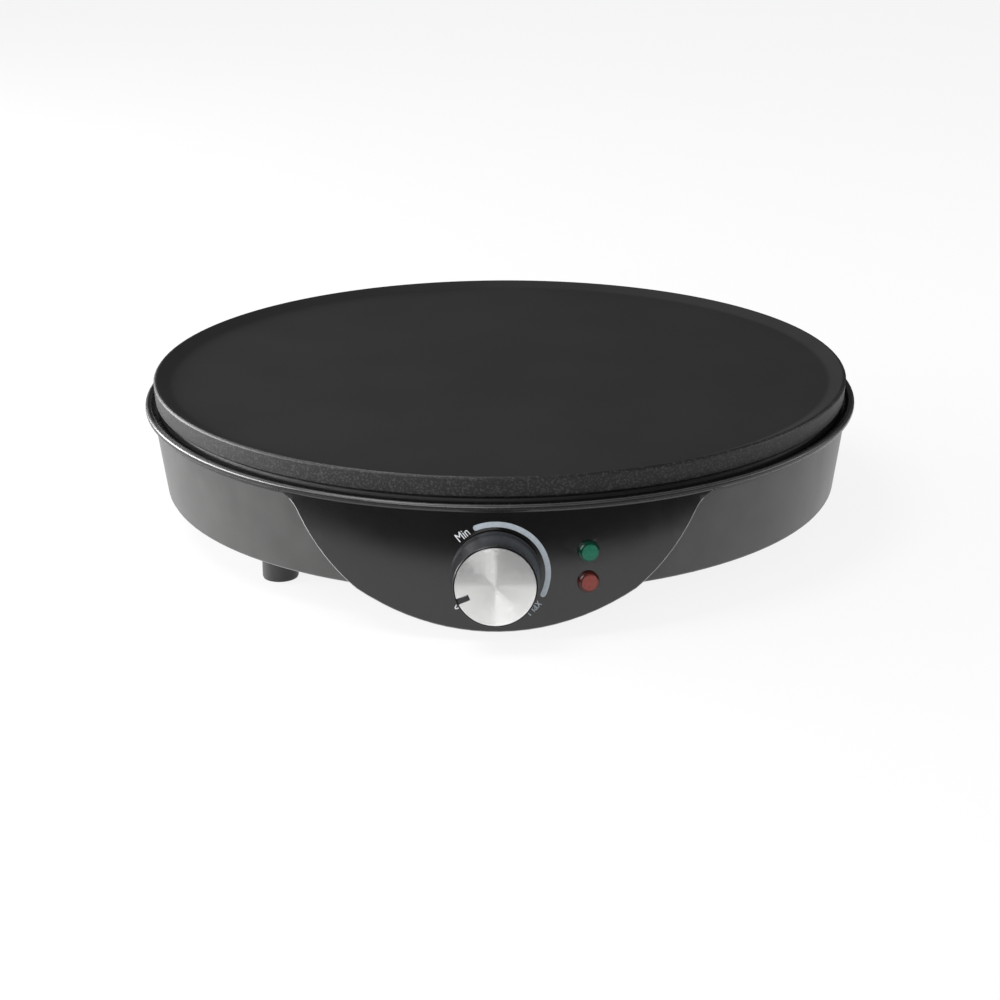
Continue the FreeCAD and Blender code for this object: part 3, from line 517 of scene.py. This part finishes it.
def edge_with_painted_highlight(name, colour):
    """Rounded edge of a moulding, with painted highlights: paler on its crest and along its lower border, as
    if the light caught them there.
    """
    finish = Finish(name, ior=1.6)
    spot = finish.from_point(AXIS)
    mottle = finish.noise(spot, scale=130, detail=3.0, roughness=0.6).ramp(0.35, 0.65)
    height = finish.height(spot)
    radius = finish.radius(spot)
    crest = height.ramp(*CREST_HEIGHT) * radius.ramp(*CREST_RADIUS)
    # Painted highlight: crest and lower border drawn paler, as where the light catches the rounded edges
    pale = (0.12 * crest + height.fall(*BORDER_HEIGHT)) * (0.75 + 0.25 * mottle)
    finish.set("Base Color", finish.mix(pale, tint(colour, 0.05), colour))
    finish.set("Roughness", 0.18 + 0.08 * mottle + 0.18 * crest + 0.45 * radius.fall(*GUTTER_RADIUS))
    return finish.material


def printed_ink(name, colour):
    """Pad-printed ink."""
    finish = Finish(name, ior=1.45)
    spot = finish.from_point(DIAL)
    cloud = finish.noise(spot, scale=700, detail=3.0)
    finish.set("Base Color", finish.drift(cloud, colour, spread=0.06))
    finish.set("Roughness", 0.42 + 0.10 * finish.noise(spot, scale=2400))
    return finish.material


def all_finishes(colours):
    """Every finish by its name, which is a slot of the record for all but edges and inks."""
    made = [
        nonstick_coating(colours), gloss_black(colours), satin_black(colours),
        base_plastic(colours), knob_black(colours), spun_aluminium(colours), woven_sleeve(),
        lens("green_lens", colours.green, centre_of("green_lamp_lens")),
        lens("red_lens", colours.red, centre_of("red_lamp_lens")),
        edge_with_painted_highlight("gloss_black_edge", colours.edge),
        edge_with_painted_highlight("satin_black_edge", tint(colours.edge, 0.8)),
        printed_ink("arc_ink", colours.mark), printed_ink("letter_ink", colours.letter),
        *(plain_metal(name, **look) for name, look in METALS.items()),
        *(plain_moulding(name, **look) for name, look in MOULDINGS.items())]
    return {material.name: material for material in made}


def dress(piece, body, slot, finish=None):
    """Gives a new piece its finish, the slot's own unless another finish is named, and its body."""
    piece.data.materials.clear()
    piece.data.materials.append(bpy.data.materials[finish or slot])
    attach(piece, body)


def slot_of(node):
    return frame["nodes"][node].material_slots[0].material.name


def deselect():
    if bpy.context.mode != "OBJECT":
        bpy.ops.object.mode_set(mode="OBJECT")
    bpy.ops.object.select_all(action="DESELECT")


def select(*pieces):
    """Selects these pieces alone and makes the first active."""
    deselect()
    for piece in pieces:
        piece.select_set(True)
    bpy.context.view_layer.objects.active = pieces[0]


def pick(test):
    """Selects the vertices of the mesh in edit mode that pass a test on their place."""
    bpy.ops.object.mode_set(mode="OBJECT")
    mesh = bpy.context.object.data
    for part in (*mesh.polygons, *mesh.edges):
        part.select = False
    for vertex in mesh.vertices:
        vertex.select = test(vertex.co)
    bpy.ops.object.mode_set(mode="EDIT")
    bpy.ops.mesh.select_mode(type="VERT")


def settle(piece):
    """Puts a piece's place into its mesh."""
    select(piece)
    bpy.ops.object.transform_apply(location=True, rotation=True, scale=True)


def apply_modifiers(piece):
    select(piece)
    for name in [modifier.name for modifier in piece.modifiers]:
        bpy.ops.object.modifier_apply(modifier=name)


def on_dial(clock, radius):
    """Frame just ahead of the panel at a clock angle round the dial: Y runs away from it, Z out."""
    tilt = Vector((0, -1, 0)).rotation_difference(DIAL_OUT).to_matrix().to_4x4()
    face = Matrix.Rotation(math.radians(90), 4, "X")
    turn = Matrix.Rotation(-clock, 4, "Z")
    return Matrix.Translation(DIAL) @ tilt @ face @ turn @ Matrix.Translation((0, radius, INK_START))


def ink_onto_panel(piece, lift):
    """Lays a flat shape onto the curved panel and gives the ink its thickness."""
    wrap = piece.modifiers.new("Onto the panel", "SHRINKWRAP")
    wrap.target = frame["nodes"]["rim_and_fascia"]
    wrap.wrap_method = "PROJECT"
    wrap.use_project_y = True
    wrap.use_positive_direction = True
    wrap.use_negative_direction = True
    film = piece.modifiers.new("Ink film", "SOLIDIFY")
    film.thickness = lift
    film.offset = 1.0
    apply_modifiers(piece)


def aimed(place, target):
    """Turn of a lamp or camera that looks from a place at a target."""
    return (target - place).to_track_quat("-Z", "Y")


class CREPE_OT_finishes(bpy.types.Operator):
    """Makes the finishes and gives each carried-over piece its own"""
    bl_idname = "crepe_maker.finishes"
    bl_label = "Finishes"

    def execute(self, context):
        for plain in list(bpy.data.materials):
            plain.name = "plain_" + plain.name
        made = all_finishes(context.scene.crepe_colours)
        for node in frame["nodes"].values():
            for place in node.material_slots:
                place.material = made[place.material.name.removeprefix("plain_")]
        return {"FINISHED"}


class CREPE_OT_soft_edges(bpy.types.Operator):
    """Rounds the edges of the shells that show, on copies that stand for them"""
    bl_idname = "crepe_maker.soft_edges"
    bl_label = "Soft edges"

    def execute(self, context):
        sizes = context.scene.crepe_edges
        self.soften(HOUSING, "griddle_plate", sizes.casting)
        self.soften(HOUSING, "rim_and_fascia", sizes.moulding, "gloss_black_edge")
        self.soften(HOUSING, "side_housing", sizes.moulding, "satin_black_edge")
        self.soften(KNOB, "knob_shell", sizes.moulding)
        return {"FINISHED"}

    def soften(self, body, node, width, edge=None):
        """Merges a copy of a node, rounds its edges and gives the roundings their own finish."""
        shell = bpy.data.objects.new("soft_" + node, frame["nodes"][node].data.copy())
        bpy.context.scene.collection.objects.link(shell)
        select(shell)
        bpy.ops.mesh.customdata_custom_splitnormals_clear()
        bpy.ops.object.mode_set(mode="EDIT")
        bpy.ops.mesh.select_all(action="SELECT")
        bpy.ops.mesh.remove_doubles(threshold=MERGE_DISTANCE)
        bpy.ops.mesh.dissolve_limited(angle_limit=COPLANAR)
        bpy.ops.object.mode_set(mode="OBJECT")
        dress(shell, body, slot_of(node))
        rounding = shell.modifiers.new("Rounding", "BEVEL")
        if edge:
            shell.data.materials.append(bpy.data.materials[edge])
            rounding.material = 1
        rounding.width = width
        rounding.segments = EDGE_SEGMENTS
        rounding.limit_method = "ANGLE"
        rounding.angle_limit = SHELL_CREASE
        rounding.use_clamp_overlap = False
        apply_modifiers(shell)
        bpy.ops.object.shade_smooth_by_angle(angle=SHELL_CREASE)
        weights = shell.modifiers.new("Flat faces stay flat", "WEIGHTED_NORMAL")
        weights.keep_sharp = True
        apply_modifiers(shell)
        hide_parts(node)


class CREPE_OT_screws(bpy.types.Operator):
    """Models a pan-head screw with a cross recess in each size and copies it to its places"""
    bl_idname = "crepe_maker.screws"
    bl_label = "Screws under the base"

    def execute(self, context):
        for kind in SCREWS:
            node, ring = kind["node"], kind["ring"]
            model = self.pan_head(context.scene.crepe_screws, kind)
            copies = []
            for clock in kind["clocks"]:
                turn = math.radians(clock)
                place = AXIS + Vector((ring * math.sin(turn), -ring * math.cos(turn), kind["seat"]))
                copy = bpy.data.objects.new(f"{node}_copy", model.data.copy())
                copy.data.transform(Matrix.Translation(place) @ Matrix.Rotation(turn * RECESS_TURNS, 4, "Z"))
                context.scene.collection.objects.link(copy)
                copies.append(copy)
            bpy.data.objects.remove(model)
            select(*copies)
            bpy.ops.object.join()
            copies[0].name = f"cross_recess_{node}"
            dress(copies[0], HOUSING, slot_of(node))
            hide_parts(node)
        return {"FINISHED"}

    def pan_head(self, sizes, kind):
        """One screw: its head's underside is at the origin and its shank runs upwards."""
        height, head = sizes.head_height, kind["head"]
        deselect()
        bpy.ops.mesh.primitive_cylinder_add(
            vertices=SCREW_SIDES, radius=head, depth=height, location=(0, 0, -height / 2))
        screw = bpy.context.object
        settle(screw)
        pick(lambda spot: spot.z < -height / 2)
        bpy.ops.mesh.bevel(offset=height / 2, segments=HEAD_SEGMENTS)
        pick(lambda spot: spot.z > -MERGE_DISTANCE)
        bpy.ops.mesh.inset(thickness=head - kind["shank"])
        bpy.ops.mesh.extrude_region_move(TRANSFORM_OT_translate={"value": (0, 0, kind["length"])})
        bpy.ops.object.mode_set(mode="OBJECT")
        arms = [self.recess_arm(screw, sizes, math.radians(turn)) for turn in (0, 90)]
        apply_modifiers(screw)
        for arm in arms:
            bpy.data.objects.remove(arm)
        bpy.ops.object.shade_smooth_by_angle(angle=SCREW_CREASE)
        return screw

    def recess_arm(self, screw, sizes, turn):
        """Cutter for one arm of the cross recess, narrower at its bottom."""
        bottom = -sizes.head_height
        deselect()
        bpy.ops.mesh.primitive_cube_add(
            size=1, location=(0, 0, bottom), rotation=(0, 0, turn),
            scale=(sizes.recess_width, sizes.recess_slot, sizes.recess_depth * 2))
        arm = bpy.context.object
        settle(arm)
        pick(lambda spot: spot.z > bottom)
        bpy.ops.transform.resize(value=(RECESS_TAPER, RECESS_TAPER, 1))
        bpy.ops.object.mode_set(mode="OBJECT")
        recess = screw.modifiers.new("Recess arm", "BOOLEAN")
        recess.object = arm
        recess.operation = "DIFFERENCE"
        recess.solver = "EXACT"
        return arm


class CREPE_OT_heat_arc(bpy.types.Operator):
    """Prints the heat arc on the panel, round the dial"""
    bl_idname = "crepe_maker.heat_arc"
    bl_label = "Heat arc"

    def execute(self, context):
        sizes = context.scene.crepe_marks
        outer, width = sizes.arc_outer, sizes.arc_width
        middle = outer - width / 2
        sweep = sizes.arc_end - sizes.arc_start
        deselect()
        bpy.ops.mesh.primitive_plane_add(size=width, location=(0, middle, 0))
        arc = context.object
        arc.name = "printed_heat_arc"
        settle(arc)
        pick(lambda spot: spot.x < 0)
        bpy.ops.mesh.delete(type="VERT")
        bpy.ops.mesh.select_all(action="SELECT")
        bpy.ops.transform.translate(value=(-width / 2, 0, 0))
        bpy.ops.mesh.spin(steps=ARC_STEPS, angle=sweep, center=(0, 0, 0), axis=(0, 0, 1))
        for passed, half_turn in ((0, -math.pi), (sweep, math.pi)):
            turn = Matrix.Rotation(-passed, 3, "Z")
            end = turn @ Vector((0, middle, 0))
            corner = turn @ Vector((0, outer, 0))
            pick(lambda spot: (spot - corner).length < PICK_DISTANCE)
            bpy.ops.mesh.spin(steps=ARC_END_STEPS, angle=half_turn, center=end, axis=(0, 0, 1))
            pick(lambda spot: (spot - end).length < width / 2 + PICK_DISTANCE)
            bpy.ops.mesh.remove_doubles(threshold=MERGE_DISTANCE)
            bpy.ops.mesh.edge_face_add()
        bpy.ops.mesh.select_all(action="SELECT")
        bpy.ops.mesh.remove_doubles(threshold=MERGE_DISTANCE)
        bpy.ops.mesh.normals_make_consistent(inside=False)
        if arc.data.polygons[0].normal.z < 0:
            bpy.ops.mesh.flip_normals()
        bpy.ops.object.mode_set(mode="OBJECT")
        arc.data.transform(on_dial(sizes.arc_start, 0))
        ink_onto_panel(arc, sizes.print_lift)
        dress(arc, HOUSING, "gloss_black_moulding", "arc_ink")
        return {"FINISHED"}


class CREPE_OT_dial_letters(bpy.types.Operator):
    """Prints Min, Max and 0 on the panel, beside the dial"""
    bl_idname = "crepe_maker.dial_letters"
    bl_label = "Dial letters"

    def execute(self, context):
        sizes = context.scene.crepe_marks
        narrow = Matrix.Diagonal((LETTER_NARROWING, 1, 1, 1))
        for mark in WORDS:
            deselect()
            bpy.ops.object.text_add()
            word = context.object
            word.name = mark["name"]
            word.data.body = mark["text"]
            word.data.align_x = "CENTER"
            word.data.align_y = "CENTER"
            word.data.size = sizes.letter_height / CAPITAL_SHARE
            bpy.ops.object.convert(target="MESH")
            word = context.object
            upright = Matrix.Rotation(math.radians(mark["turn"]), 4, "Z")
            place = on_dial(math.radians(mark["clock"]), mark["radius"])
            word.data.transform(place @ upright @ narrow)
            ink_onto_panel(word, sizes.print_lift)
            dress(word, HOUSING, "gloss_black_moulding", mark["ink"])
        return {"FINISHED"}


class CREPE_OT_studio(bpy.types.Operator):
    """Sets the pale floor, the soft lights and the camera"""
    bl_idname = "crepe_maker.studio"
    bl_label = "Studio"

    def execute(self, context):
        self.floor()
        for box in SOFTBOXES:
            self.softbox(**box)
        self.world(context.scene)
        self.camera(context.scene)
        context.scene.view_settings.view_transform = "Standard"
        return {"FINISHED"}

    def floor(self):
        """Pale floor that takes the shadow, nearly white to the camera, and in gloss only near by."""
        deselect()
        bpy.ops.mesh.primitive_circle_add(vertices=FLOOR_SIDES, radius=FLOOR_RADIUS, fill_type="NGON")
        floor = bpy.context.object
        floor.name = "studio_floor"
        material = bpy.data.materials.new("studio_floor")
        material.use_nodes = True
        tree = material.node_tree
        tree.nodes.remove(tree.nodes["Principled BSDF"])
        pale = Nodes(tree)
        seen, mirrored = pale.rays()
        spot = pale.node("ShaderNodeTexCoord", output="Object")
        away = pale.vector("DISTANCE", pale.vector("MULTIPLY", spot, FLOOR_SQUEEZE), AXIS, "Value")
        near = away.ramp(*NEAR_FLOOR, 1.0, FAR_FLOOR_IN_GLOSS)
        matt = pale.node("ShaderNodeBsdfDiffuse", inputs={"Color": FLOOR_COLOUR})
        white = pale.node("ShaderNodeEmission")
        glow = pale.node("ShaderNodeMixShader", inputs={0: seen.at_least(mirrored * near), 2: white})
        share = (seen * FLOOR_WHITE_SHARE).at_least(mirrored)
        blend = pale.node("ShaderNodeMixShader", inputs={0: share, 1: matt, 2: glow})
        pale.feed(tree.nodes["Material Output"].inputs["Surface"], blend)
        floor.data.materials.append(material)

    def softbox(self, name, place, power, width, height):
        light = bpy.data.lights.new(name, "AREA")
        light.energy = power
        light.shape = "RECTANGLE"
        light.size = width
        light.size_y = height
        lamp = bpy.data.objects.new(name, light)
        bpy.context.scene.collection.objects.link(lamp)
        lamp.location = place
        lamp.rotation_euler = aimed(Vector(place), LIGHT_TARGET).to_euler()

    def world(self, scene):
        """Even light, white to the camera and through clear pieces, and dimmer in gloss."""
        scene.world = bpy.data.worlds.new("studio_world")
        scene.world.use_nodes = True
        sky = Nodes(scene.world.node_tree)
        seen, mirrored = sky.rays()
        unseen = WORLD_LIGHT - (WORLD_LIGHT - WORLD_IN_GLOSS) * mirrored
        backdrop = sky.tree.nodes["Background"]
        sky.feed(backdrop.inputs["Color"], (1, 1, 1, 1))
        sky.feed(backdrop.inputs["Strength"], seen + (1 - seen) * unseen)

    def camera(self, scene):
        data = bpy.data.cameras.new("camera")
        data.lens = CAMERA_LENS
        data.sensor_width = CAMERA_FRAME
        view = bpy.data.objects.new("camera", data)
        scene.collection.objects.link(view)
        turn = aimed(CAMERA_PLACE, CAMERA_TARGET).to_matrix().to_4x4()
        view.matrix_world = Matrix.Translation(CAMERA_PLACE) @ turn @ Matrix.Rotation(CAMERA_ROLL, 4, "Z")
        scene.camera = view


class CREPE_PT_panel(bpy.types.Panel):
    """Steps that finish the crepe maker, in their order"""
    bl_idname = "CREPE_PT_panel"
    bl_label = "Crepe Maker"
    bl_space_type = "VIEW_3D"
    bl_region_type = "UI"
    bl_category = "Crepe Maker"

    def draw(self, context):
        for step in STEPS:
            self.layout.operator(step.bl_idname)
        for name, group in GROUPS.items():
            for key in group.__annotations__:
                self.layout.prop(getattr(context.scene, name), key)


STEPS = (CREPE_OT_finishes, CREPE_OT_soft_edges, CREPE_OT_screws, CREPE_OT_heat_arc,
         CREPE_OT_dial_letters, CREPE_OT_studio)
GROUPS = {"crepe_marks": DialMarkSizes, "crepe_edges": EdgeSizes, "crepe_screws": ScrewSizes,
          "crepe_colours": FinishColours}
CLASSES = (*GROUPS.values(), *STEPS, CREPE_PT_panel)


def register():
    for entry in CLASSES:
        bpy.utils.register_class(entry)
    for name, group in GROUPS.items():
        setattr(bpy.types.Scene, name, bpy.props.PointerProperty(type=group))


def unregister():
    for name in GROUPS:
        delattr(bpy.types.Scene, name)
    for entry in reversed(CLASSES):
        bpy.utils.unregister_class(entry)


def main():
    register()
    bpy.ops.crepe_maker.finishes()
    bpy.ops.crepe_maker.soft_edges()
    bpy.ops.crepe_maker.screws()
    bpy.ops.crepe_maker.heat_arc()
    bpy.ops.crepe_maker.dial_letters()
    bpy.ops.crepe_maker.studio()
    deselect()


if __name__ == "__main__":
    main()
